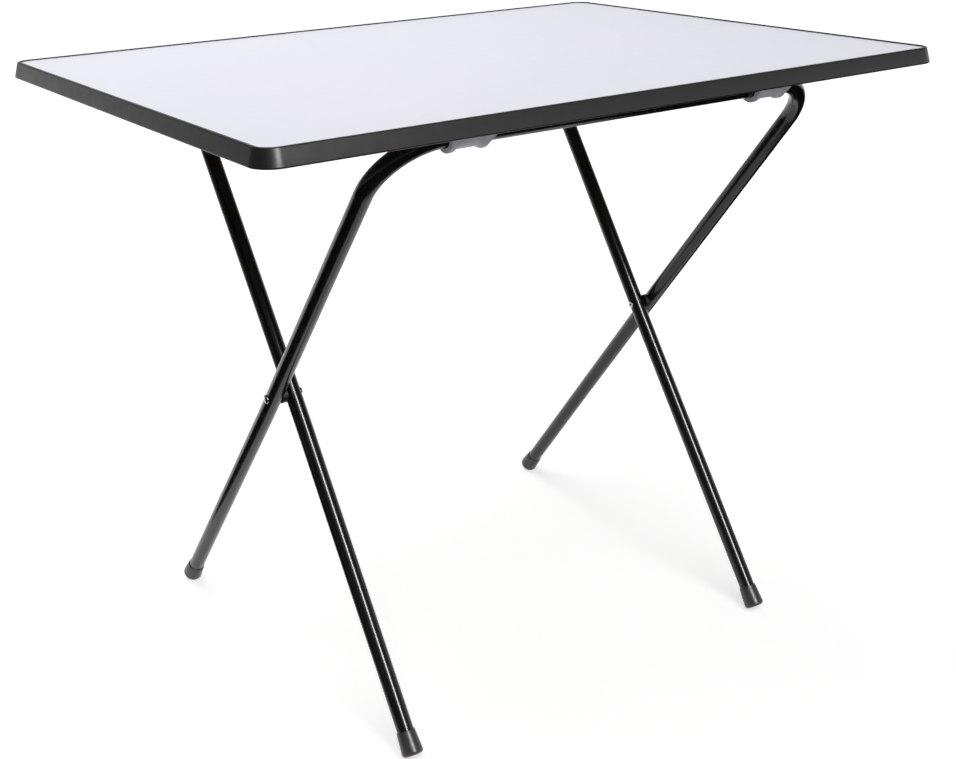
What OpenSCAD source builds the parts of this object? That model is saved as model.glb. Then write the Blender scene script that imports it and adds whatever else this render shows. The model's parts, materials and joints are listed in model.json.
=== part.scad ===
// Folding camping table: an edged board on two crossing frames of bent tube.
// The origin is on the floor under the middle of the top. X runs along the long edge,
// Y to the back and Z up. Lengths are in millimetres and angles in degrees.

/* [Table top] */
// Length of the top over the moulding's lip
top_length = 800; // [720:5:1000]
// Width of the top over the moulding's lip
top_width = 600; // [580:5:700]
// Height of the table over the moulding's lip
table_height = 670; // [640:5:700]
// Thickness of the board
board_thickness = 12; // [10:0.5:16]
// Radius of the top's corners over the moulding's lip
corner_radius = 18; // [16:1:60]

/* [Edge moulding] */
// Width of the moulding's lip seen from above
edge_width = 4.2; // [3.4:0.1:6]
// How far the moulding's lip stands above the top's face
lip_height = 1.2; // [0.4:0.1:2]
// How far the moulding's foot stands out past its lip
edge_flare = 4; // [1:0.5:6]
// Rounding of the moulding's outer edges
edge_rounding = 1.4; // [0.6:0.1:1.6]
// How far the skirt hangs below the board
skirt_drop = 3.4; // [3:0.1:8]
// Wall of the hanging skirt
skirt_wall = 2.4; // [1.8:0.1:3]
// Length of the barbed tongue in the board's groove
tongue_length = 8; // [5:0.5:9]
// Thickness of the tongue between its barbs
tongue_thickness = 2; // [1.6:0.1:3]
// Height of a barb on each face of the tongue
barb_height = 0.3; // [0.1:0.05:0.5]
// Distance from one barb to the next
barb_pitch = 2; // [1.5:0.1:2.5]
// Space between the barbs and the groove, and at the board's edge
edge_clearance = 0.1; // [0.05:0.05:0.3]

/* [Leg frames] */
// Outside diameter of the tube
tube_diameter = 18; // [16:0.5:20]
// Wall of the tube
tube_wall = 1.2; // [0.8:0.1:2]
// Radius of the tube's axis in the four bends
bend_radius = 64; // [50:2:90]
// Distance between the outer frame's leg axes
outer_frame_width = 532; // [480:2:600]
// Gap between an outer leg and the inner leg beside it
leg_gap = 4.5; // [3:0.5:8]
// Outer frame's crossbar axis to the top's front edge
front_inset = 40; // [36:1:60]
// Inner frame's crossbar axis to the top's back edge
rear_inset = 98.5; // [80:0.5:120]
// Middle to where the outer legs' axes meet the floor
outer_reach = 266; // [240:1:280]
// Middle to where the inner legs' axes meet the floor
inner_reach = 236.5; // [220:0.5:260]
// Space between a crossbar and the board
crossbar_gap = 0.6; // [0.3:0.1:3]
// Outward lean of the outer legs below the rivets
outer_splay = 0.95; // [0.3:0.05:1.5]
// Outward lean of the inner legs below the rivets
inner_splay = 0.65; // [0.3:0.05:1]
// Rivet to the start of that lean, along the leg
splay_start = 25; // [16:1:60]

/* [Foot caps] */
// Length of a foot cap
cap_length = 26; // [20:1:50]
// Wall of the cap at its mouth
cap_mouth_wall = 1; // [0.8:0.1:1.6]
// Rounding of the cap's mouth
cap_mouth_rounding = 0.5; // [0.2:0.1:0.8]
// Diameter of the cap at its foot
cap_foot_diameter = 23; // [22:0.5:26]
// Thickness of the cap's floor
cap_floor = 4; // [2:0.5:8]
// Rounding of the cap's foot
cap_rounding = 3.5; // [1:0.5:4]
// Space between the cap and the tube
cap_clearance = 0.1; // [0.05:0.05:0.3]

/* [Rivets and spacers] */
// Diameter of a rivet's shank
rivet_diameter = 5; // [4:0.5:6]
// Diameter of a rivet's domed head
rivet_head_diameter = 10; // [8:0.5:12]
// Height of the domed head
rivet_head_height = 2; // [1.5:0.1:3]
// Diameter of the rolled end of a rivet
rivet_tail_diameter = 7.4; // [7:0.1:9]
// Height of the rolled end
rivet_tail_height = 1.2; // [1:0.1:2]
// Diameter of the hollow in the rolled end
rivet_hollow_diameter = 3; // [2:0.1:3.2]
// Depth of that hollow
rivet_hollow_depth = 4; // [2:0.5:8]
// Space round a rivet in the holes of the tubes
rivet_clearance = 0.15; // [0.05:0.05:0.3]
// Diameter of the spacer between the two legs
spacer_diameter = 17; // [12:0.5:17.5]
// How far a spacer reaches over the side of the outer leg
spacer_saddle = 2; // [1:0.5:3]
// Space between a spacer and the leg that turns on it
spacer_clearance = 0.3; // [0.2:0.05:0.5]

/* [Hinge brackets] */
// Middle of a hinge bracket to the start of the bend beside it
bracket_to_bend = 17; // [14:0.5:30]
// Length of a bracket's flanges along the crossbar
bracket_length = 62; // [60:1:70]
// Outside diameter of the trough round the crossbar
trough_diameter = 23.4; // [22.6:0.2:26]
// Outside diameter of the two collars
collar_diameter = 28.4; // [27:0.2:30]
// Width of a collar's crown
collar_width = 6; // [5:0.5:8]
// Distance between the collars
collar_spacing = 35; // [32:1:38]
// Length over which a collar blends into the trough
collar_blend = 4; // [2:0.5:5]
// Middle of a bracket to the end of its trough
trough_reach = 30; // [28:0.5:31]
// Radial clearance of the crossbar in its brackets
crossbar_clearance = 0.3; // [0.2:0.05:0.5]
// Thickness of the flanges on the board
flange_thickness = 3.2; // [2.5:0.1:5]
// Crossbar axis to the long edge of a flange
flange_reach = 27; // [26:0.5:30]
// Radius of a flange's corners
flange_corner = 6; // [4:0.5:8]
// Thickness of the ribs
rib_thickness = 3; // [2:0.1:4]
// Distance between a bracket's screws along the crossbar
bracket_screw_spacing = 50; // [49:0.5:53]
// Crossbar axis to the screws
bracket_screw_offset = 20; // [19.5:0.5:21]

/* [Rear clips] */
// Middle of a rear clip to the start of the bend beside it
clip_to_bend = 39.5; // [30:0.5:60]
// Length of a clip along the crossbar
clip_length = 36; // [30:1:50]
// Wall of the hook
hook_wall = 4; // [3:0.2:5]
// Slope of the hook's open lip
lip_slope = 9; // [8.5:0.5:14]
// How far the lip reaches in front of the crossbar axis
lip_reach = 7; // [4:0.5:8]
// Crossbar axis to the back edge of the clip's flange
clip_reach = 33; // [31:0.5:38]
// Crossbar axis to the clip's screws
clip_screw_offset = 24; // [23:0.5:25]
// Distance between a clip's screws
clip_screw_spacing = 22; // [18:1:24]

/* [Screws] */
// Shank of a screw
screw_diameter = 3.5; // [3:0.1:4]
// Head of a screw
screw_head_diameter = 7; // [6:0.5:8]
// Height of the head
screw_head_height = 2.2; // [1.8:0.1:3]
// Length of the shank below the head
screw_length = 11.5; // [9:0.5:12]
// Length of a screw's pointed tip
screw_tip = 2.5; // [1.5:0.1:3]
// Space round a screw in its holes
screw_clearance = 0.1; // [0.05:0.05:0.3]
// Width of the cross slot in the head
slot_width = 0.9; // [0.6:0.1:1.2]
// Depth of the cross slot
slot_depth = 1.2; // [0.8:0.1:1.5]

/* [Hidden] */
$fn = 72;

// Small overlap that keeps a cut from ending on a face
cut = 1;
// Where a leg starts to lean, a ball this much thicker joins its two straight lengths,
// which both end inside it
knee_swell = 0.05;
knee_lap = 0.5;
tube_r = tube_diameter / 2;
bore_r = tube_r + crossbar_clearance;
face_z = table_height - lip_height;
underside_z = face_z - board_thickness;
crossbar_drop = tube_r + crossbar_gap;
crossbar_z = underside_z - crossbar_drop;
front_crossbar_y = front_inset - top_width / 2;
rear_crossbar_y = top_width / 2 - rear_inset;

// The legs' runs along Y, and their lean from the vertical
outer_run = outer_reach - front_crossbar_y;
inner_run = rear_crossbar_y + inner_reach;
outer_lean = atan2(outer_run, crossbar_z);
inner_lean = atan2(inner_run, crossbar_z);

// Where the two frames cross, seen along X
cross_share = (rear_crossbar_y - front_crossbar_y) / (outer_run + inner_run);
pivot_y = front_crossbar_y + cross_share * outer_run;
pivot_z = crossbar_z * (1 - cross_share);
outer_pivot_depth = cross_share * crossbar_z / cos(outer_lean);
inner_pivot_depth = cross_share * crossbar_z / cos(inner_lean);
outer_half = outer_frame_width / 2;
inner_half = outer_half - tube_diameter - leg_gap;

// The tilted cap touches the floor with its rounded foot
cap_foot_r = cap_foot_diameter / 2;
function tilt(lean, splay) = acos(cos(lean) * cos(splay));
function cap_lift(tilt) =
    (cap_foot_r - cap_rounding) * sin(tilt) + cap_rounding * (1 - cos(tilt));
function foot_depth(lean, splay) =
    (crossbar_z - cap_lift(tilt(lean, splay))) / cos(lean);
function splay_run(lean, splay, pivot_depth) =
    (foot_depth(lean, splay) - pivot_depth - splay_start) / cos(splay);
function foot_x(half, lean, splay, pivot_depth) =
    half + splay_run(lean, splay, pivot_depth) * sin(splay);

// Points of an arc, for the outlines below
function arc(centre, radius, from, to, steps) =
    [for (i = [0:steps]) centre + radius * [
        cos(from + (to - from) * i / steps),
        sin(from + (to - from) * i / steps)
    ]];

board_inset = edge_width + edge_clearance;
board_corner = corner_radius - board_inset;
groove_z = face_z - board_thickness / 2;
groove_height = tongue_thickness + 2 * (barb_height + edge_clearance);
groove_depth = tongue_length + cut;

// Places of the brackets and clips along their crossbars
bracket_offset = outer_half - bend_radius - bracket_to_bend;
clip_offset = inner_half - bend_radius - clip_to_bend;

white_laminate = [0.91, 0.9, 0.945];
dark_grey = [0.25, 0.25, 0.26];
black_coat = [0.06, 0.06, 0.07];
cap_grey = [0.2, 0.2, 0.21];
pale_grey = [0.62, 0.62, 0.66];
spacer_black = [0.08, 0.08, 0.08];
steel = [0.75, 0.75, 0.77];

// A flat slab with rounded corners, standing on z
module rounded_slab(length, width, radius, z, height) {
    translate([0, 0, z]) linear_extrude(height) union() {
        square([length - 2 * radius, width], center = true);
        square([length, width - 2 * radius], center = true);
        for (x = [-1, 1], y = [-1, 1])
            translate([x * (length / 2 - radius), y * (width / 2 - radius)]) circle(radius);
    }
}

module bracket_screw_places() {
    for (x = [-1, 1], y = [-1, 1])
        translate([x * bracket_screw_spacing / 2, y * bracket_screw_offset, 0])
            children();
}

module clip_screw_places() {
    for (x = [-1, 1])
        translate([x * clip_screw_spacing / 2, clip_screw_offset, 0]) children();
}

// Moves a bracket or a clip from the crossbar's axis to its place
module at_bracket(side) {
    translate([side * bracket_offset, front_crossbar_y, crossbar_z]) children();
}

module at_clip(side) {
    translate([side * clip_offset, rear_crossbar_y, crossbar_z]) children();
}

// Blind hole in the board, and through hole in a flange, above the screw's place
module pilot_hole(depth) {
    translate([0, 0, crossbar_drop - cut])
        cylinder(h = cut + depth, r = screw_diameter / 2 + screw_clearance);
}

module flange_hole() {
    translate([0, 0, crossbar_drop - flange_thickness - cut])
        cylinder(h = flange_thickness + 2 * cut, r = screw_diameter / 2 + screw_clearance);
}

module tabletop_board() {
    pilot_depth = screw_length - flange_thickness + cut / 2;
    color(white_laminate) difference() {
        rounded_slab(top_length - 2 * board_inset, top_width - 2 * board_inset,
            board_corner, underside_z, board_thickness);
        difference() {
            rounded_slab(top_length, top_width, corner_radius,
                groove_z - groove_height / 2, groove_height);
            rounded_slab(
                top_length - 2 * (board_inset + groove_depth),
                top_width - 2 * (board_inset + groove_depth),
                max(board_corner - groove_depth, cut),
                groove_z - groove_height / 2 - cut, groove_height + 2 * cut);
        }
        for (side = [-1, 1]) {
            at_bracket(side) bracket_screw_places() pilot_hole(pilot_depth);
            at_clip(side) clip_screw_places() pilot_hole(pilot_depth);
        }
    }
}

// Section of the moulding: x outwards from its inner face, y up from the top's face. Its outer
// face slopes out to the foot, and a hollow from below parts it from the wall at the board.
module edge_section() {
    mid = -board_thickness / 2;
    half = tongue_thickness / 2;
    foot = -board_thickness - skirt_drop;
    barb = barb_pitch / 5;
    barbs = floor((tongue_length - barb_pitch / 2) / barb_pitch);
    lip_round = lip_height / 2;
    lip_x = edge_width - edge_rounding;
    face_height = lip_height - foot - 2 * edge_rounding;
    slope = atan2(edge_flare, face_height);
    inner_wall = edge_width * 0.4;
    hollow_x = edge_width + edge_flare - skirt_wall;
    hollow_top = -board_thickness * 0.7;
    hollow_run = edge_flare * (hollow_top - foot) / face_height;
    polygon(concat(
        arc([lip_round, lip_height - lip_round], lip_round, 180, 90, 3),
        arc([lip_x, lip_height - edge_rounding], edge_rounding, 90, slope, 4),
        arc([lip_x + edge_flare, foot + edge_rounding], edge_rounding, slope, -90, 5),
        [[hollow_x + lip_round, foot], [hollow_x, foot + lip_round]],
        [[hollow_x - hollow_run, hollow_top], [inner_wall, hollow_top]],
        [[inner_wall, -board_thickness], [0, -board_thickness], [0, mid - half]],
        [for (i = [0:barbs - 1], p = [[0, 0], [barb, barb_height]])
            [-(i + 0.5) * barb_pitch - p[0], mid - half - p[1]]],
        [[-tongue_length, mid - half + barb_height], [-tongue_length, mid + half - barb_height]],
        [for (i = [barbs - 1:-1:0], p = [[barb, barb_height], [0, 0]])
            [-(i + 0.5) * barb_pitch - p[0], mid + half + p[1]]],
        [[0, mid + half]]
    ));
}

// The moulding runs straight along the four sides and turns at the corners
module edge_moulding() {
    radius = corner_radius - edge_width;
    straight = [top_length - 2 * corner_radius, top_width - 2 * corner_radius];
    color(dark_grey) translate([0, 0, face_z]) for (quarter = [0:3])
        rotate([0, 0, 90 * quarter]) {
            odd = quarter % 2;
            run = straight[1 - odd];
            out = straight[odd] / 2 + radius;
            translate([out, run / 2, 0]) rotate([90, 0, 0])
                linear_extrude(run) edge_section();
            translate([out - radius, run / 2, 0]) rotate_extrude(angle = 90)
                translate([radius, 0]) edge_section();
        }
}

// One half of a U frame as a solid rod, with the crossbar's axis along X at z = 0
// and the leg down along -Z
module half_frame_rod(rod_r, half, lean, splay, pivot_depth, end_extra) {
    knee_z = pivot_depth + splay_start;
    run = splay_run(lean, splay, pivot_depth) - cap_floor + end_extra;
    rotate([0, 90, 0]) cylinder(h = half - bend_radius, r = rod_r);
    translate([half - bend_radius, 0, -bend_radius]) rotate([90, 0, 0])
        rotate_extrude(angle = 90) translate([bend_radius, 0]) circle(rod_r);
    translate([half, 0, knee_lap - knee_z])
        cylinder(h = knee_z - knee_lap - bend_radius, r = rod_r);
    translate([half, 0, -knee_z]) {
        sphere(rod_r + knee_swell);
        rotate([0, 180 - splay, 0]) translate([0, 0, knee_lap])
            cylinder(h = run - knee_lap, r = rod_r);
    }
}

module frame_rod(rod_r, half, lean, splay, pivot_depth, end_extra) {
    for (side = [0, 1]) mirror([side, 0, 0])
        half_frame_rod(rod_r, half, lean, splay, pivot_depth, end_extra);
}

// The whole bent tube with its open ends and the cross holes for the rivets
module tube_frame(half, lean, splay, pivot_depth) {
    color(black_coat) difference() {
        frame_rod(tube_r, half, lean, splay, pivot_depth, 0);
        frame_rod(tube_r - tube_wall, half, lean, splay, pivot_depth, cut);
        for (side = [-1, 1])
            translate([side * half, 0, -pivot_depth]) rotate([0, 90, 0])
                cylinder(h = tube_diameter + 2 * cut,
                    r = rivet_diameter / 2 + rivet_clearance, center = true);
    }
}

// A frame's own axes are turned about its crossbar into the open table
module in_outer_frame() {
    translate([0, front_crossbar_y, crossbar_z]) rotate([outer_lean, 0, 0]) children();
}

module in_inner_frame() {
    translate([0, rear_crossbar_y, crossbar_z]) rotate([-inner_lean, 0, 0]) children();
}

module outer_leg_frame() {
    in_outer_frame() tube_frame(outer_half, outer_lean, outer_splay, outer_pivot_depth);
}

module inner_leg_frame() {
    in_inner_frame() tube_frame(inner_half, inner_lean, inner_splay, inner_pivot_depth);
}

// A tapered cup with a rounded foot at z = 0 and its mouth up
module foot_cap_shape() {
    mouth_r = tube_r + cap_mouth_wall;
    color(cap_grey) difference() {
        rotate_extrude() polygon(concat(
            [[0, 0]],
            arc([cap_foot_r - cap_rounding, cap_rounding], cap_rounding, -90, 5, 6),
            [[mouth_r, cap_length - cap_mouth_rounding]],
            [[mouth_r - cap_mouth_rounding, cap_length], [0, cap_length]]
        ));
        translate([0, 0, cap_floor])
            cylinder(h = cap_length, r = tube_r + cap_clearance);
    }
}

module foot_cap(side, half, lean, splay, pivot_depth) {
    translate([side * foot_x(half, lean, splay, pivot_depth), 0,
        -foot_depth(lean, splay)]) rotate([0, -side * splay, 0]) foot_cap_shape();
}

module outer_foot_cap(side) {
    in_outer_frame() foot_cap(side, outer_half, outer_lean, outer_splay, outer_pivot_depth);
}

module inner_foot_cap(side) {
    in_inner_frame() foot_cap(side, inner_half, inner_lean, inner_splay, inner_pivot_depth);
}

// Axes at a pivot, with X pointing outwards through both legs
module at_pivot(side) {
    translate([0, pivot_y, pivot_z]) mirror([side < 0 ? 1 : 0, 0, 0])
        rotate([0, 90, 0]) children();
}

// Domed head outside, shank through both legs, hollow end rolled over inside
module rivet(side) {
    head_x = outer_half + tube_r;
    tail_x = inner_half - tube_r;
    end_x = tail_x - rivet_tail_height;
    head_r = rivet_head_diameter / 2;
    tail_r = rivet_tail_diameter / 2;
    shank_r = rivet_diameter / 2;
    hollow_r = rivet_hollow_diameter / 2;
    brim = rivet_head_height / 5;
    roll = rivet_tail_height / 2;
    color(steel) at_pivot(side) rotate_extrude() polygon(concat(
        [[0, end_x + rivet_hollow_depth], [hollow_r, end_x + rivet_hollow_depth]],
        [[hollow_r, end_x + roll], [hollow_r + roll, end_x]],
        [[tail_r - roll, end_x], [tail_r, end_x + roll], [tail_r, tail_x]],
        [[shank_r, tail_x], [shank_r, head_x], [head_r, head_x], [head_r, head_x + brim]],
        [for (i = [1:6]) [
            head_r * cos(15 * i),
            head_x + brim + (rivet_head_height - brim) * sin(15 * i)
        ]]
    ));
}

// Flat towards the inner leg, hollowed to fit round the outer leg
module spacer(side) {
    start = inner_half + tube_r + spacer_clearance;
    color(spacer_black) difference() {
        at_pivot(side) translate([0, 0, start])
            cylinder(h = outer_half - tube_r - start + spacer_saddle, r = spacer_diameter / 2);
        at_pivot(side) translate([0, 0, start - cut])
            cylinder(h = tube_diameter, r = rivet_diameter / 2 + rivet_clearance);
        in_outer_frame() translate([side * outer_half, 0, -outer_pivot_depth])
            cylinder(h = 3 * tube_diameter, r = tube_r + edge_clearance, center = true);
    }
}

module along_x(length, r1, r2) {
    rotate([0, 90, 0]) cylinder(h = length, r1 = r1, r2 = r2);
}

// Points of a smooth step along X from one radius to another
function blend(x0, r0, x1, r1, steps) =
    [for (i = [0:steps]) [
        x0 + (x1 - x0) * i / steps,
        r0 + (r1 - r0) * (1 - cos(180 * i / steps)) / 2
    ]];

// Outline of a bracket's trough along the crossbar: x along it, y the radius. A collar with
// a rolled lip ends it towards -X, and it runs on past the second collar towards +X.
function trough_outline() =
    let (
        trough_r = trough_diameter / 2,
        collar_r = collar_diameter / 2,
        middle = collar_spacing / 2,
        half = collar_width / 2,
        lip = collar_width / 5,
        soft = collar_width / 3
    )
    concat(
        arc([lip - middle - half, collar_r - lip], lip, 180, 90, 3),
        blend(half - middle - soft, collar_r, half - middle + collar_blend, trough_r, 8),
        blend(middle - half - collar_blend, trough_r, middle - half + soft, collar_r, 8),
        blend(middle + half - soft, collar_r, middle + half + collar_blend, trough_r, 8),
        [[trough_reach - lip / 2, trough_r], [trough_reach, trough_r - lip / 2]]
    );

module turned_about_x(outline) {
    last = len(outline) - 1;
    rotate([0, 90, 0]) rotate_extrude() polygon(concat(
        [[0, outline[0][0]]],
        [for (p = outline) [p[1], p[0]]],
        [[0, outline[last][0]]]
    ));
}

// Moulded strap that holds the crossbar up to the board: a trough with two collars between
// two ribbed flanges. Its bore opens out at both ends, where the tube may start to bend, and
// the end past the second collar is cut off at a slant.
module hinge_bracket_shape() {
    half = bracket_length / 2;
    collar_r = collar_diameter / 2;
    outline = trough_outline();
    last = len(outline) - 1;
    bend_run = trough_reach - bracket_to_bend;
    mouth_r = bore_r + bend_run * bend_run / (2 * bend_radius);
    plate_z = crossbar_drop - flange_thickness;
    collar_end = (collar_spacing + collar_width) / 2;
    difference() {
        union() {
            translate([0, 0, plate_z]) linear_extrude(flange_thickness) union() {
                square([bracket_length - 2 * flange_corner, 2 * flange_reach], center = true);
                square([bracket_length, 2 * (flange_reach - flange_corner)], center = true);
                for (x = [-1, 1], y = [-1, 1])
                    translate([x * (half - flange_corner), y * (flange_reach - flange_corner)])
                        circle(flange_corner);
            }
            turned_about_x(outline);
            linear_extrude(crossbar_drop) polygon(concat(
                outline,
                [for (i = [last:-1:0]) [outline[i][0], -outline[i][1]]]
            ));
            for (x = [-1, 1], y = [0, 1])
                translate([x * collar_spacing / 2 - rib_thickness / 2, 0, 0]) mirror([0, y, 0])
                    rotate([90, 0, 90]) linear_extrude(rib_thickness) polygon([
                        [collar_r - cut, plate_z + cut],
                        [flange_reach - rib_thickness, plate_z + cut],
                        [flange_reach - rib_thickness, plate_z],
                        [collar_r - cut, 0]
                    ]);
        }
        turned_about_x([
            [-half - cut, mouth_r], [-trough_reach, mouth_r], [-bracket_to_bend, bore_r],
            [bracket_to_bend, bore_r], [trough_reach, mouth_r], [half + cut, mouth_r]
        ]);
        translate([-half - cut, -bore_r, 0])
            cube([bracket_length + 2 * cut, 2 * bore_r, crossbar_drop + cut]);
        translate([-half - cut, -flange_reach - cut, crossbar_drop])
            cube([bracket_length + 2 * cut, 2 * (flange_reach + cut), collar_r]);
        translate([0, flange_reach, 0]) rotate([90, 0, 0]) linear_extrude(2 * flange_reach)
            polygon([
                [collar_end, -collar_r - cut], [collar_end, -trough_diameter / 2],
                [trough_reach, 0], [half + cut, 0], [half + cut, -collar_r - cut]
            ]);
        bracket_screw_places() flange_hole();
    }
}

module front_bracket(side) {
    color(pale_grey) at_bracket(side) hinge_bracket_shape();
}

// Moulded hook, open to the front, that the inner frame's crossbar drops into
module rear_clip_shape() {
    half = clip_length / 2;
    hook_r = bore_r + hook_wall;
    lip_z = -bore_r - lip_reach * tan(lip_slope);
    difference() {
        union() {
            translate([-half, bore_r, crossbar_drop - flange_thickness])
                cube([clip_length, clip_reach - bore_r, flange_thickness]);
            translate([-half, 0, 0]) along_x(clip_length, hook_r, hook_r);
            translate([-half, bore_r, 0]) cube([clip_length, hook_wall, crossbar_drop]);
            translate([-half, -lip_reach, lip_z - hook_wall / 2])
                along_x(clip_length, hook_wall / 2, hook_wall / 2);
            translate([-half, 0, 0]) rotate([90, 0, 90]) linear_extrude(clip_length)
                polygon([
                    [0, -hook_r], [0, -bore_r], [-lip_reach, lip_z],
                    [-lip_reach, lip_z - hook_wall]
                ]);
            for (x = [-half, -rib_thickness / 2, half - rib_thickness])
                translate([x, 0, 0]) rotate([90, 0, 90]) linear_extrude(rib_thickness)
                    polygon([
                        [hook_r - cut, crossbar_drop - flange_thickness / 2],
                        [clip_reach - rib_thickness, crossbar_drop - flange_thickness / 2],
                        [clip_reach - rib_thickness, crossbar_drop - flange_thickness],
                        [hook_r - cut, 0]
                    ]);
        }
        translate([-half - cut, 0, 0]) along_x(clip_length + 2 * cut, bore_r, bore_r);
        translate([-half - cut, -bore_r, 0])
            cube([clip_length + 2 * cut, 2 * bore_r, crossbar_drop + cut]);
        translate([-half - cut, 0, crossbar_drop])
            cube([clip_length + 2 * cut, clip_reach + cut, hook_r]);
        translate([-half - cut, 0, 0]) rotate([90, 0, 90])
            linear_extrude(clip_length + 2 * cut) polygon([
                [0, -bore_r], [0, hook_r + cut], [-2 * hook_r, hook_r + cut],
                [-2 * hook_r, -bore_r - 2 * hook_r * tan(lip_slope)]
            ]);
        clip_screw_places() flange_hole();
    }
}

module rear_clip(side) {
    color(pale_grey) at_clip(side) rear_clip_shape();
}

// Pan-head screw pointing up, its head's seat at z = 0
module screw_shape() {
    head_r = screw_head_diameter / 2;
    shank_r = screw_diameter / 2;
    color(steel) difference() {
        rotate_extrude() polygon(concat(
            [[0, screw_length], [shank_r, screw_length - screw_tip]],
            [[shank_r, 0], [head_r, 0]],
            [for (i = [0:5]) [
                head_r - (head_r * 0.25) * (1 - cos(18 * i)),
                -screw_head_height * (0.35 + 0.65 * sin(18 * i))
            ]],
            [[0, -screw_head_height]]
        ));
        for (turn = [0, 90]) rotate([0, 0, turn])
            translate([-screw_head_diameter * 0.3, -slot_width / 2,
                -screw_head_height - cut])
                cube([screw_head_diameter * 0.6, slot_width, slot_depth + cut]);
    }
}

module bracket_screws(side) {
    at_bracket(side) bracket_screw_places()
        translate([0, 0, crossbar_drop - flange_thickness]) screw_shape();
}

module clip_screws(side) {
    at_clip(side) clip_screw_places()
        translate([0, 0, crossbar_drop - flange_thickness]) screw_shape();
}

tabletop_board();
edge_moulding();
outer_leg_frame();
inner_leg_frame();
outer_foot_cap(-1);  // outer_left_foot_cap
outer_foot_cap(1);  // outer_right_foot_cap
inner_foot_cap(-1);  // inner_left_foot_cap
inner_foot_cap(1);  // inner_right_foot_cap
rivet(-1);  // left_rivet
rivet(1);  // right_rivet
spacer(-1);  // left_spacer
spacer(1);  // right_spacer
front_bracket(-1);  // front_left_bracket
front_bracket(1);  // front_right_bracket
bracket_screws(-1);  // front_left_bracket_screws
bracket_screws(1);  // front_right_bracket_screws
rear_clip(-1);  // rear_left_clip
rear_clip(1);  // rear_right_clip
clip_screws(-1);  // rear_left_clip_screws
clip_screws(1);  // rear_right_clip_screws
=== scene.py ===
"""Folding camping table: a white edged top on two crossing frames of black bent tube."""

import json
import math

import bmesh
import bpy
from mathutils import Matrix, Vector


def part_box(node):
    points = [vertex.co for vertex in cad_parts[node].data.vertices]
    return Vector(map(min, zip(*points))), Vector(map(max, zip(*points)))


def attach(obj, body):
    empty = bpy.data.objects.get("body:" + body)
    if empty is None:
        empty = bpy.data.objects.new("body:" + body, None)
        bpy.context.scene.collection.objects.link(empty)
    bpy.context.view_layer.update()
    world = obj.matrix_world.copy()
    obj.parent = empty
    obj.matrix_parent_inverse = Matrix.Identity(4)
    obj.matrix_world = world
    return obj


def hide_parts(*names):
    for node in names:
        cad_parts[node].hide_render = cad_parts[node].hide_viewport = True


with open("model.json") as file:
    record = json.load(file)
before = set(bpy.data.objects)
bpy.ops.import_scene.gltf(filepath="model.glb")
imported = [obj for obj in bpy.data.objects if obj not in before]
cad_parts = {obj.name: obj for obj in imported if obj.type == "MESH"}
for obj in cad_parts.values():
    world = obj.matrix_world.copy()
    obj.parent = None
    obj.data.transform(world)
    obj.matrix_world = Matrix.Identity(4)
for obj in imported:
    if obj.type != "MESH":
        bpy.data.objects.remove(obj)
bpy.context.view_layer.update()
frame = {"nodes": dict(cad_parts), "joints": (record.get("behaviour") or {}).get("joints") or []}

MM = 0.001

# The photograph's camera, aimed at a point above the middle of the floor
CAMERA_AZIMUTH = -34.55
CAMERA_ELEVATION = 21.503
CAMERA_ROLL = -1.25
CAMERA_DISTANCE = 1605.87 * MM
CAMERA_LENS = 52.394
CAMERA_FAR_CLIP = 100.0
AIM_HEIGHT = 402.0 * MM
AIM_RIGHT = 3.41 * MM
AIM_UP = -103.74 * MM

# The tube frames, with the steps of their centre lines and the sides of their section
TUBE_R = 9.0 * MM
TUBE_SIDES = 56
BEND_R = 64.0 * MM
BEND_STEPS = 24
LEG_STEPS = 6
OUTER_HALF = 266.0 * MM
INNER_HALF = 243.5 * MM
KNEE_BELOW_RIVET = 25.0 * MM
KNEE_EASE = 12.0 * MM
OUTER_SPLAY = math.radians(0.95)
INNER_SPLAY = math.radians(0.65)

# In a bend the tube is a little thinner in the bend's plane and wider across it
BENT_ANGLE = math.radians(2)
BENT_SHARES = (0.985, 1.01)

# The foot caps. The draft is the lean of their wall in degrees
CAP_LENGTH = 26.0 * MM
CAP_FLOOR = 4.0 * MM
CAP_FOOT_R = 11.5 * MM
CAP_MOUTH_R = 10.0 * MM
CAP_BORE_R = TUBE_R + 0.05 * MM
CAP_ROUND = 3.5 * MM
CAP_MOUTH_ROUND = 0.5 * MM
CAP_DRAFT = 4
CAP_SIDES = 64

# The rivets, with a domed head outside and a hollow, rolled-over end inside
RIVET_SHANK_R = 2.5 * MM
RIVET_HEAD_R = 5.0 * MM
RIVET_HEAD_RISE = 2.0 * MM
RIVET_HEAD_BRIM = 0.4 * MM
RIVET_HEAD_CHAMFER = 0.1 * MM
RIVET_TAIL_R = 3.7 * MM
RIVET_TAIL_RISE = 1.2 * MM
RIVET_HOLLOW_R = 1.5 * MM
RIVET_HOLLOW_DEPTH = 4.0 * MM
RIVET_HOLLOW_CONE = 0.6 * MM
RIVET_ROLL_REACH = 1.6
RIVET_DOME_STEPS = 14
RIVET_SIDES = 48

# The edge moulding, whose face slopes out from its lip to its foot
LIP_HALF = Vector((400.0, 300.0)) * MM
CORNER_R = 18.0 * MM
CORNER_STEPS = 24
LIP_WIDTH = 4.2 * MM
LIP_HEIGHT = 1.2 * MM
FLARE = 3.96 * MM
FOOT_DEPTH = 16.6 * MM
EDGE_ROUND = 1.4 * MM
BOARD_THICKNESS = 12.0 * MM
SKIRT_WALL = 2.4 * MM
INNER_WALL = 0.4 * LIP_WIDTH
HOLLOW_ROOF = 0.7 * BOARD_THICKNESS
JOINT_GAP = 0.25 * MM

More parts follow.
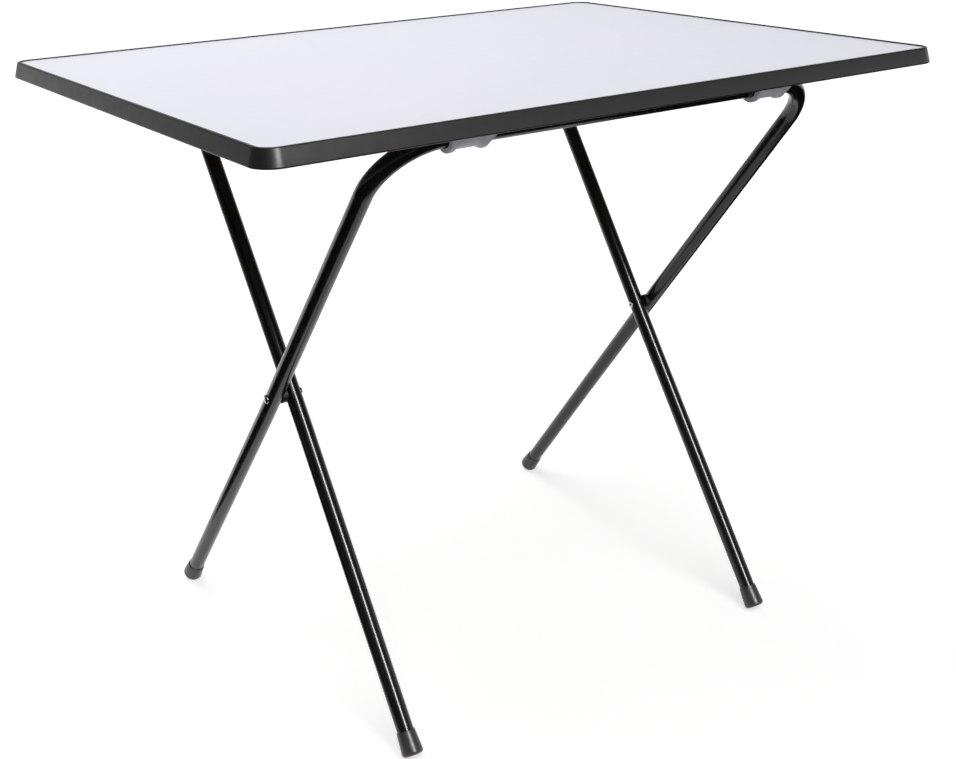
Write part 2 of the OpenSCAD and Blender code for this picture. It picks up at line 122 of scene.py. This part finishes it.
# How points are merged, faces smoothed and edges rounded
MERGE_DISTANCE = 0.001 * MM
WELD_DISTANCE = 0.01 * MM
SMOOTH_ANGLE = math.radians(35)
FLAT_ANGLE = math.radians(1)
EDGE_ANGLE = math.radians(40)
EDGE_SEGMENTS = 2
FACE_WEIGHT = 100
BOARD_EDGE = 0.15 * MM
SPACER_EDGE = 0.3 * MM
MOULDED_EDGE = 0.4 * MM
SCREW_EDGE = 0.12 * MM

# The floor: half its side, how far it lies below the feet, its glow near the table, and how
# much is added to the glow over a range of distances
FLOOR_REACH = 40.0
FLOOR_DEPTH = 0.2 * MM
FLOOR_GREY = 0.87
NEAR_GLOW = 0.64
MORE_GLOW = 0.38
GLOW_RANGE = (0.9, 3.0)

# The corners of two black cards that lie on the floor and show only in gloss: painted dark
# reflections (painted shade) in the tubes
CARD_HEIGHT = 0.5 * MM
DARK_REFLECTION_CARDS = {
    "left_dark_reflection": ((-12.0, -0.35), (-0.39, -0.35), (-0.39, 0.38), (-1.4, 1.39), (-8.1, 18.0),
                  (-12.0, 18.0)),
    "front_dark_reflection": ((-12.0, -14.0), (6.0, -14.0), (6.0, 0.5), (0.5, 0.5), (0.5, -0.35),
                   (-12.0, -0.35)),
}

# The room's light: height and strength near the horizon and overhead, and the dark side
ROOM_HEIGHTS = (0.12, 0.36, 1.0, 0.08)
DARK_SIDE = (-0.966, -0.259, 0.0)
DARK_RANGE = (0.05, 0.25, 1.0, 0.12)

# The lamps: azimuth, elevation, distance, width, height and power. The first two only show in
# the gloss, and the last two only light the surfaces
LAMP_AIM_HEIGHT = 0.4
GLOSS_LAMPS = {
    "strip": (-3, 32.5, 4.0, 0.9, 2.4, 190),
    "halo": (-30, 36, 4.1, 2.6, 2.4, 7),
}
LIGHT_LAMPS = {
    "overhead": (-165, 68, 2.0, 1.8, 1.2, 26),
    "front": (-20, 50, 4.0, 3.0, 2.5, 95),
}


def direction(azimuth, elevation):
    """Unit vector from the object towards a compass direction: 0 is the front, 90 the right."""
    a, e = math.radians(azimuth), math.radians(elevation)
    return Vector((math.sin(a) * math.cos(e), -math.cos(a) * math.cos(e), math.sin(e)))


def make_camera():
    back = direction(CAMERA_AZIMUTH, CAMERA_ELEVATION)
    right = Vector((0, 0, 1)).cross(back).normalized()
    up = back.cross(right)
    aim = Vector((0, 0, AIM_HEIGHT)) + right * AIM_RIGHT + up * AIM_UP
    turn = Matrix((right, up, back)).transposed().to_4x4()
    data = bpy.data.cameras.new("camera")
    data.lens = CAMERA_LENS
    data.clip_end = CAMERA_FAR_CLIP
    camera = bpy.data.objects.new("camera", data)
    roll = Matrix.Rotation(math.radians(CAMERA_ROLL), 4, "Z")
    camera.matrix_world = Matrix.Translation(aim + back * CAMERA_DISTANCE) @ turn @ roll
    bpy.context.scene.collection.objects.link(camera)
    bpy.context.scene.camera = camera


def srgb(*values):
    """Linear colour of values as they look on screen."""
    return tuple(v / 12.92 if v <= 0.04045 else ((v + 0.055) / 1.055) ** 2.4 for v in values)


class Shader:
    """A material with one Principled surface and short calls for the nodes that feed it."""

    def __init__(self, name, colour, roughness, metallic=0.0):
        self.material = bpy.data.materials.new(name)
        self.material.use_nodes = True
        self.tree = self.material.node_tree
        self.surface = self.tree.nodes["Principled BSDF"]
        self.material.diffuse_color = (*srgb(*colour), 1.0)
        self.set("Base Color", (*srgb(*colour), 1.0))
        self.set("Roughness", roughness)
        self.set("Metallic", metallic)
        self.place = self.node("ShaderNodeTexCoord").outputs["Object"]
        self.relief = None

    def set(self, socket, value):
        self.surface.inputs[socket].default_value = value

    def node(self, kind, **inputs):
        made = self.tree.nodes.new(kind)
        for key, value in inputs.items():
            made.inputs[key].default_value = value
        return made

    def join(self, source, target):
        self.tree.links.new(source, target)

    def put(self, value, target):
        """Joins a socket to the target, or sets the target to a plain value."""
        if isinstance(value, bpy.types.NodeSocket):
            self.join(value, target)
        else:
            target.default_value = value

    def stretched(self, x, y, z):
        """Object coordinates, multiplied along each axis."""
        node = self.node("ShaderNodeMapping", Scale=(x, y, z))
        self.join(self.place, node.inputs["Vector"])
        return node.outputs["Vector"]

    def math(self, operation, first, second):
        node = self.node("ShaderNodeMath")
        node.operation = operation
        self.put(first, node.inputs[0])
        self.put(second, node.inputs[1])
        return node.outputs[0]

    def noise(self, scale, detail=2.0, place=None):
        node = self.node("ShaderNodeTexNoise", Scale=scale, Detail=detail)
        self.join(place or self.place, node.inputs["Vector"])
        return node.outputs["Fac"]

    def spread(self, source, low, high, start=0.3, end=0.7):
        """source from start to end, mapped onto low to high and held there."""
        node = self.node("ShaderNodeMapRange")
        for name, value in (("From Min", start), ("From Max", end),
                            ("To Min", low), ("To Max", high)):
            node.inputs[name].default_value = value
        self.join(source, node.inputs["Value"])
        return node.outputs["Result"]

    def mix(self, factor, low, high):
        node = self.node("ShaderNodeMix")
        node.data_type = "RGBA"
        self.put(low, node.inputs[6])
        self.put(high, node.inputs[7])
        self.join(factor, node.inputs["Factor"])
        return node.outputs[2]

    def blend(self, source, low, high):
        """Two screen colours, mixed by source."""
        return self.mix(self.spread(source, 0, 1), (*srgb(*low), 1), (*srgb(*high), 1))

    def tint(self, source, low, high):
        """Colours the surface between two screen colours."""
        self.join(self.blend(source, low, high), self.surface.inputs["Base Color"])

    def polish(self, source, low, high):
        """Lets the roughness wander between two values."""
        self.join(self.spread(source, low, high), self.surface.inputs["Roughness"])

    def bump(self, source, depth):
        """Adds relief of that depth in metres to what is there."""
        node = self.node("ShaderNodeBump", Distance=depth, Strength=1.0)
        self.join(source, node.inputs["Height"])
        if self.relief:
            self.join(self.relief, node.inputs["Normal"])
        self.relief = node.outputs["Normal"]
        self.join(self.relief, self.surface.inputs["Normal"])


def laminate():
    """White melamine face with a faint pearl grain. The underside is raw brown fibreboard."""
    s = Shader("laminate", (0.91, 0.902, 0.945), 0.34)
    face = s.blend(s.noise(3.0, 3.0), (0.898, 0.902, 0.941), (0.914, 0.906, 0.949))
    back = s.blend(s.noise(420.0, 4.0), (0.4, 0.33, 0.27), (0.48, 0.4, 0.33))
    facing = s.node("ShaderNodeSeparateXYZ")
    s.join(s.node("ShaderNodeNewGeometry").outputs["Normal"], facing.inputs[0])
    upwards = s.spread(facing.outputs["Z"], 0.0, 1.0, start=-0.2, end=0.2)
    s.join(s.mix(upwards, back, face), s.surface.inputs["Base Color"])
    s.polish(s.noise(60.0, 3.0), 0.30, 0.38)
    s.bump(s.noise(1400.0), 0.012 * MM)
    return s.material


def edge_plastic():
    """Satin extruded plastic with faint lines along its length."""
    s = Shader("edge_plastic", (0.13, 0.13, 0.13), 0.35)
    s.set("Specular IOR Level", 0.45)
    lines = s.noise(1.0, 3.0, s.stretched(6.0, 6.0, 1500.0))
    s.tint(lines, (0.12, 0.12, 0.12), (0.14, 0.139, 0.139))
    s.polish(s.noise(90.0), 0.32, 0.38)
    s.bump(lines, 0.008 * MM)
    s.bump(s.noise(2200.0, 1.0), 0.004 * MM)
    return s.material


def powder_coat():
    """Gloss black powder coat with a soft orange peel."""
    s = Shader("frame_black", (0.09, 0.09, 0.095), 0.2)
    s.set("Specular IOR Level", 0.38)
    s.set("Coat Weight", 0.15)
    s.set("Coat Roughness", 0.12)
    s.tint(s.noise(35.0, 3.0), (0.08, 0.08, 0.085), (0.1, 0.1, 0.105))
    s.polish(s.noise(120.0), 0.17, 0.24)
    s.bump(s.noise(420.0), 0.02 * MM)
    return s.material


def cap_plastic():
    """Dark grey moulded plastic with a fine eroded grain."""
    s = Shader("cap_plastic", (0.25, 0.25, 0.255), 0.34)
    s.tint(s.noise(160.0, 3.0), (0.23, 0.23, 0.235), (0.265, 0.265, 0.27))
    s.polish(s.noise(300.0), 0.28, 0.4)
    s.bump(s.noise(1600.0, 3.0), 0.04 * MM)
    return s.material


def bracket_plastic():
    """Pale, slightly bluish grey moulded plastic."""
    s = Shader("bracket_plastic", (0.75, 0.76, 0.8), 0.36)
    s.tint(s.noise(70.0, 3.0), (0.73, 0.74, 0.78), (0.77, 0.78, 0.82))
    s.polish(s.noise(200.0), 0.32, 0.42)
    s.bump(s.noise(1400.0), 0.02 * MM)
    return s.material


def spacer_plastic():
    """Matt black moulded plastic."""
    s = Shader("spacer_plastic", (0.07, 0.07, 0.07), 0.5)
    s.polish(s.noise(300.0), 0.4, 0.55)
    s.bump(s.noise(1500.0), 0.02 * MM)
    return s.material


def plated_steel():
    """Zinc-plated steel, a little clouded."""
    s = Shader("steel", (0.75, 0.75, 0.77), 0.2, metallic=1.0)
    s.tint(s.noise(500.0, 3.0), (0.68, 0.69, 0.71), (0.8, 0.8, 0.81))
    s.polish(s.noise(900.0), 0.14, 0.26)
    s.bump(s.noise(2500.0), 0.01 * MM)
    return s.material


def add_mesh(name, points, faces, material, body, node):
    """Makes a closed piece that rides on its body and takes the place of a node."""
    data = bpy.data.meshes.new(name)
    data.from_pydata(points, [], faces)
    work = bmesh.new()
    work.from_mesh(data)
    bmesh.ops.remove_doubles(work, verts=work.verts, dist=MERGE_DISTANCE)
    bmesh.ops.recalc_face_normals(work, faces=work.faces)
    work.to_mesh(data)
    work.free()
    piece = bpy.data.objects.new(name, data)
    bpy.context.scene.collection.objects.link(piece)
    data.materials.append(material)
    data.shade_smooth()
    data.set_sharp_from_angle(angle=SMOOTH_ANGLE)
    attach(piece, body)
    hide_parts(node)


def rings_to_faces(rings, size, closed):
    """Quads between rings of that many points. The ends are capped unless the run is closed."""
    faces = []
    for i in range(rings if closed else rings - 1):
        a, b = i * size, (i + 1) % rings * size
        for j in range(size):
            k = (j + 1) % size
            faces.append((a + j, a + k, b + k, b + j))
    if not closed:
        faces.append(tuple(range(size)))
        faces.append(tuple((rings - 1) * size + j for j in range(size)))
    return faces


def arc(centre, radius, start, end, steps):
    """Points (x, y) of an arc, with angles in degrees."""
    turns = [math.radians(start + (end - start) * i / steps) for i in range(steps + 1)]
    return [(centre[0] + radius * math.cos(t), centre[1] + radius * math.sin(t))
            for t in turns]


def moulding_section():
    """Outline of the edge moulding: out from the board's edge, up from the lip's crest."""
    lip = LIP_HEIGHT / 2
    fall = FOOT_DEPTH - 2 * EDGE_ROUND
    slope = math.degrees(math.atan2(FLARE, fall))
    top_x, foot_x = LIP_WIDTH - EDGE_ROUND, LIP_WIDTH + FLARE - EDGE_ROUND
    under = -LIP_HEIGHT - BOARD_THICKNESS
    roof = -LIP_HEIGHT - HOLLOW_ROOF
    skirt = LIP_WIDTH + FLARE - SKIRT_WALL
    return (
        arc((lip, -lip), lip, 180, 90, 6)
        + arc((top_x, -EDGE_ROUND), EDGE_ROUND, 90, slope, 8)
        + arc((foot_x, EDGE_ROUND - FOOT_DEPTH), EDGE_ROUND, slope, -90, 10)
        + arc((skirt + lip, lip - FOOT_DEPTH), lip, -90, -180, 4)
        + [(skirt - FLARE * (FOOT_DEPTH + roof) / fall, roof), (INNER_WALL, roof),
           (INNER_WALL, under), (0.0, under)]
    )


def board_outline():
    """Points of the board's edge with their outward directions, once round from the joint in
    the middle of the rear edge."""
    radius = CORNER_R - LIP_WIDTH
    reach = LIP_HALF - Vector((CORNER_R, CORNER_R))
    rear = Vector((0, LIP_HALF.y - LIP_WIDTH, 0))
    half_gap = Vector((JOINT_GAP / 2, 0, 0))
    out = Vector((0, 1, 0))
    outline = [(rear - half_gap, out)]
    for quarter, (sx, sy) in enumerate(((-1, 1), (-1, -1), (1, -1), (1, 1)), start=1):
        for i in range(CORNER_STEPS + 1):
            t = math.radians(90 * (quarter + i / CORNER_STEPS))
            out = Vector((math.cos(t), math.sin(t), 0))
            outline.append((Vector((sx * reach.x, sy * reach.y, 0)) + out * radius, out))
    outline.append((rear + half_gap, out))
    return outline


def make_edge_moulding(material):
    section = moulding_section()
    crest = Vector((0, 0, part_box("edge_moulding")[1].z))
    outline = board_outline()
    points = [base + out * u + crest + Vector((0, 0, v)) for base, out in outline
              for u, v in section]
    faces = rings_to_faces(len(outline), len(section), closed=False)
    add_mesh("edge_strip", points, faces, material, "tabletop",
             "edge_moulding")


def leg_line(crossbar, pivot, half, splay):
    """Knee of the right leg, the direction down from it, and the middle of its cap's sole."""
    down = (pivot - crossbar).normalized()
    side = Vector((1, 0, 0))
    knee = crossbar + side * half + down * ((pivot - crossbar).length + KNEE_BELOW_RIVET)
    lean = (side * math.sin(splay) + down * math.cos(splay)).normalized()
    tilt = math.acos(-lean.z)
    lift = (CAP_FOOT_R - CAP_ROUND) * math.sin(tilt) + CAP_ROUND * (1 - math.cos(tilt))
    return knee, lean, knee + lean * ((knee.z - lift) / -lean.z)


def frame_path(crossbar, pivot, half, splay):
    """Centre line of half a leg frame, from the crossbar's middle to the tube's end."""
    down = (pivot - crossbar).normalized()
    side = Vector((1, 0, 0))
    knee, lean, sole = leg_line(crossbar, pivot, half, splay)
    bend = [crossbar + side * (half - BEND_R + BEND_R * math.sin(t))
            + down * (BEND_R - BEND_R * math.cos(t))
            for t in (math.radians(90 * i / BEND_STEPS) for i in range(BEND_STEPS + 1))]
    top, over, under = bend[-1], knee - down * KNEE_EASE, knee + lean * KNEE_EASE
    end = sole - lean * CAP_FLOOR
    leg = [top.lerp(over, i / LEG_STEPS) for i in range(1, LEG_STEPS + 1)]
    foot = [under.lerp(end, i / LEG_STEPS) for i in range(LEG_STEPS + 1)]
    return [crossbar, *bend, *leg, *foot]


def make_leg_frame(name, crossbar, pivot, half, splay, material, body, node):
    """Sweeps the tube along the whole U. Its section flattens a little in the bends."""
    right = frame_path(crossbar, pivot, half, splay)
    left = [Vector((-p.x, p.y, p.z)) for p in right[:0:-1]]
    path = left + right
    across = (pivot - crossbar).normalized().cross(Vector((1, 0, 0))).normalized()
    points = []
    for i, p in enumerate(path):
        before, after = path[max(i - 1, 0)], path[min(i + 1, len(path) - 1)]
        along = (after - before).normalized()
        inward = across.cross(along).normalized()
        bent = (p - before).angle(after - p, 0.0) > BENT_ANGLE
        thin, wide = BENT_SHARES if bent else (1.0, 1.0)
        for j in range(TUBE_SIDES):
            t = 2 * math.pi * j / TUBE_SIDES
            points.append(p + inward * (TUBE_R * thin * math.cos(t))
                          + across * (TUBE_R * wide * math.sin(t)))
    faces = rings_to_faces(len(path), TUBE_SIDES, closed=False)
    add_mesh(name, points, faces, material, body, node)


def lathe(name, profile, place, sides, material, body):
    """Turns a closed profile (radius, height) about Z and puts it in its node's place."""
    points = []
    for i in range(sides):
        t = 2 * math.pi * i / sides
        points += [place @ Vector((r * math.cos(t), r * math.sin(t), h)) for r, h in profile]
    faces = rings_to_faces(sides, len(profile), closed=True)
    add_mesh(name, points, faces, material, body, name)


def make_cap(name, sole, lean, side, material, body):
    """Moulded cup on a tube's end, a little wider at its rounded sole than at its mouth."""
    profile = (
        [(0.0, 0.0)]
        + arc((CAP_FOOT_R - CAP_ROUND, CAP_ROUND), CAP_ROUND, -90, CAP_DRAFT, 12)
        + arc((CAP_MOUTH_R - CAP_MOUTH_ROUND, CAP_LENGTH - CAP_MOUTH_ROUND), CAP_MOUTH_ROUND,
              CAP_DRAFT, 90, 4)
        + [(CAP_BORE_R, CAP_LENGTH), (CAP_BORE_R, CAP_FLOOR), (0.0, CAP_FLOOR)]
    )
    mirror = Matrix.Diagonal((side, 1, 1, 1))
    turn = (-lean).to_track_quat("Z", "Y").to_matrix().to_4x4()
    place = mirror @ Matrix.Translation(sole) @ turn
    lathe(name, profile, place, CAP_SIDES, material, body)


def make_rivet(name, pivot, side, material):
    """Semi-tubular rivet from its hollow end inside to its domed head outside."""
    head, tail = OUTER_HALF + TUBE_R, INNER_HALF - TUBE_R
    end, roll = tail - RIVET_TAIL_RISE, RIVET_TAIL_RISE / 2
    brim = RIVET_HEAD_BRIM
    dome = [(RIVET_HEAD_R * math.cos(t), head + brim + (RIVET_HEAD_RISE - brim) * math.sin(t))
            for t in (math.radians(90 * i / RIVET_DOME_STEPS)
                      for i in range(RIVET_DOME_STEPS + 1))]
    profile = (
        [(0.0, end + RIVET_HOLLOW_DEPTH),
         (RIVET_HOLLOW_R, end + RIVET_HOLLOW_DEPTH - RIVET_HOLLOW_CONE),
         (RIVET_HOLLOW_R, end + roll * RIVET_ROLL_REACH)]
        + arc((RIVET_HOLLOW_R + roll, end + roll), roll, 180, 270, 5)
        + arc((RIVET_TAIL_R - roll, end + roll), roll, 270, 360, 6)
        + [(RIVET_TAIL_R, tail), (RIVET_SHANK_R, tail), (RIVET_SHANK_R, head),
           (RIVET_HEAD_R - RIVET_HEAD_CHAMFER, head), (RIVET_HEAD_R, head + RIVET_HEAD_CHAMFER)]
        + dome
    )
    outwards = Matrix(((0, 0, side), (0, 1, 0), (1, 0, 0))).to_4x4()
    place = Matrix.Translation((0, pivot.y, pivot.z)) @ outwards
    lathe(name, profile, place, RIVET_SIDES, material, "outer_frame")


def dress_node(name, material, width):
    """Gives a node its finish and a small round on its edges."""
    piece = frame["nodes"][name]
    piece.data.materials.clear()
    piece.data.materials.append(material)
    piece.data.shade_smooth()
    weld = piece.modifiers.new("weld", "WELD")
    weld.merge_threshold = WELD_DISTANCE
    flat = piece.modifiers.new("flat", "DECIMATE")
    flat.decimate_type = "DISSOLVE"
    flat.angle_limit = FLAT_ANGLE
    bevel = piece.modifiers.new("bevel", "BEVEL")
    bevel.width = width
    bevel.segments = EDGE_SEGMENTS
    bevel.limit_method = "ANGLE"
    bevel.angle_limit = EDGE_ANGLE
    bevel.use_clamp_overlap = True
    normals = piece.modifiers.new("normals", "WEIGHTED_NORMAL")
    normals.weight = FACE_WEIGHT


def make_floor():
    """A wide pale floor, white where the camera or gloss sees it, that keeps a faint shadow."""
    data = bpy.data.meshes.new("floor")
    reach = FLOOR_REACH
    data.from_pydata([(-reach, -reach, 0), (reach, -reach, 0), (reach, reach, 0),
                      (-reach, reach, 0)], [], [(0, 1, 2, 3)])
    floor = bpy.data.objects.new("floor", data)
    floor.location.z = -FLOOR_DEPTH
    bpy.context.scene.collection.objects.link(floor)
    s = Shader("floor", (FLOOR_GREY, FLOOR_GREY, FLOOR_GREY), 0.9)
    s.set("Specular IOR Level", 0.0)
    s.set("Emission Color", (1, 1, 1, 1))
    distance = s.node("ShaderNodeVectorMath")
    distance.operation = "LENGTH"
    s.join(s.place, distance.inputs[0])
    far = s.spread(distance.outputs["Value"], 0.0, MORE_GLOW, *GLOW_RANGE)
    glow = s.math("ADD", far, NEAR_GLOW)
    path = s.node("ShaderNodeLightPath")
    seen = s.math("MAXIMUM", path.outputs["Is Camera Ray"], path.outputs["Is Glossy Ray"])
    s.join(s.math("MULTIPLY", glow, seen), s.surface.inputs["Emission Strength"])
    data.materials.append(s.material)


def make_dark_reflection_card(name, corners):
    """Black card on the floor that only gloss sees. It is a painted reflection that paints the
    dark core of the tubes.
    """
    data = bpy.data.meshes.new(name)
    data.from_pydata([(x, y, 0) for x, y in corners], [], [tuple(range(len(corners)))])
    card = bpy.data.objects.new(name, data)
    card.location.z = CARD_HEIGHT
    for ray in ("camera", "diffuse", "transmission", "shadow", "volume_scatter"):
        setattr(card, f"visible_{ray}", False)
    bpy.context.scene.collection.objects.link(card)
    s = Shader(name, (0.05, 0.05, 0.05), 1.0)
    s.set("Specular IOR Level", 0.0)
    data.materials.append(s.material)


def make_world():
    """A pale room, brightest near the horizon and dark beside the camera. It is plain white
    where the camera sees it."""
    world = bpy.data.worlds.new("world")
    bpy.context.scene.world = world
    world.use_nodes = True
    tree = world.node_tree
    tree.nodes.clear()

    def node(kind, *sources, **settings):
        made = tree.nodes.new(kind)
        for key, value in settings.items():
            setattr(made, key, value)
        for i, source in enumerate(sources):
            if isinstance(source, bpy.types.NodeSocket):
                tree.links.new(source, made.inputs[i])
            else:
                made.inputs[i].default_value = source
        return made

    place = node("ShaderNodeTexCoord").outputs["Generated"]
    height = node("ShaderNodeSeparateXYZ", place).outputs["Z"]
    base = node("ShaderNodeMapRange", height, *ROOM_HEIGHTS).outputs[0]
    beside = node("ShaderNodeVectorMath", place, DARK_SIDE, operation="DOT_PRODUCT")
    dim = node("ShaderNodeMapRange", beside.outputs["Value"], *DARK_RANGE).outputs[0]
    room = node("ShaderNodeMath", base, dim, operation="MULTIPLY").outputs[0]
    camera = node("ShaderNodeLightPath").outputs["Is Camera Ray"]
    pick = node("ShaderNodeMath", room, camera, operation="MAXIMUM").outputs[0]
    sky = node("ShaderNodeBackground", (1, 1, 1, 1), pick)
    tree.links.new(sky.outputs[0], tree.nodes.new("ShaderNodeOutputWorld").inputs["Surface"])


def make_lamp(name, azimuth, elevation, distance, width, height, power, in_gloss):
    """A rectangular lamp that faces the table, and lights it or only shows in its gloss."""
    data = bpy.data.lights.new(name, "AREA")
    data.shape = "RECTANGLE"
    data.size, data.size_y = width, height
    data.energy = power
    lamp = bpy.data.objects.new(name, data)
    towards = direction(azimuth, elevation)
    lamp.location = Vector((0, 0, LAMP_AIM_HEIGHT)) + towards * distance
    lamp.rotation_mode = "QUATERNION"
    lamp.rotation_quaternion = towards.to_track_quat("Z", "Y")
    lamp.visible_diffuse = not in_gloss
    lamp.visible_glossy = in_gloss
    bpy.context.scene.collection.objects.link(lamp)


make_camera()
make_floor()
# Black cards seen only in gloss, which paint dark reflections into the tubes
for name, corners in DARK_REFLECTION_CARDS.items():
    make_dark_reflection_card(name, corners)
make_world()
for name, values in GLOSS_LAMPS.items():
    make_lamp(name, *values, in_gloss=True)
for name, values in LIGHT_LAMPS.items():
    make_lamp(name, *values, in_gloss=False)

LAMINATE = laminate()
EDGE = edge_plastic()
COAT = powder_coat()
CAP = cap_plastic()
BRACKET = bracket_plastic()
SPACER = spacer_plastic()
STEEL = plated_steel()

make_edge_moulding(EDGE)

hinge, pivot = (Vector(joint["pos_m"]) for joint in frame["joints"])
inner_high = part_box("inner_leg_frame")[1]
rear_bar = Vector((0, inner_high.y - TUBE_R, inner_high.z - TUBE_R))
for ring, bar, half, splay in (("outer", hinge, OUTER_HALF, OUTER_SPLAY),
                               ("inner", rear_bar, INNER_HALF, INNER_SPLAY)):
    make_leg_frame(f"{ring}_tube", bar, pivot, half, splay, COAT, f"{ring}_frame",
                   f"{ring}_leg_frame")
    knee, lean, sole = leg_line(bar, pivot, half, splay)
    for side, sign in (("left", -1), ("right", 1)):
        make_cap(f"{ring}_{side}_foot_cap", sole, lean, sign, CAP, f"{ring}_frame")

dress_node("tabletop_board", LAMINATE, BOARD_EDGE)
for side, sign in (("left", -1), ("right", 1)):
    make_rivet(f"{side}_rivet", pivot, sign, STEEL)
    dress_node(f"{side}_spacer", SPACER, SPACER_EDGE)
    dress_node(f"front_{side}_bracket", BRACKET, MOULDED_EDGE)
    dress_node(f"rear_{side}_clip", BRACKET, MOULDED_EDGE)
    dress_node(f"front_{side}_bracket_screws", STEEL, SCREW_EDGE)
    dress_node(f"rear_{side}_clip_screws", STEEL, SCREW_EDGE)

scene = bpy.context.scene
scene.view_settings.view_transform = "Standard"
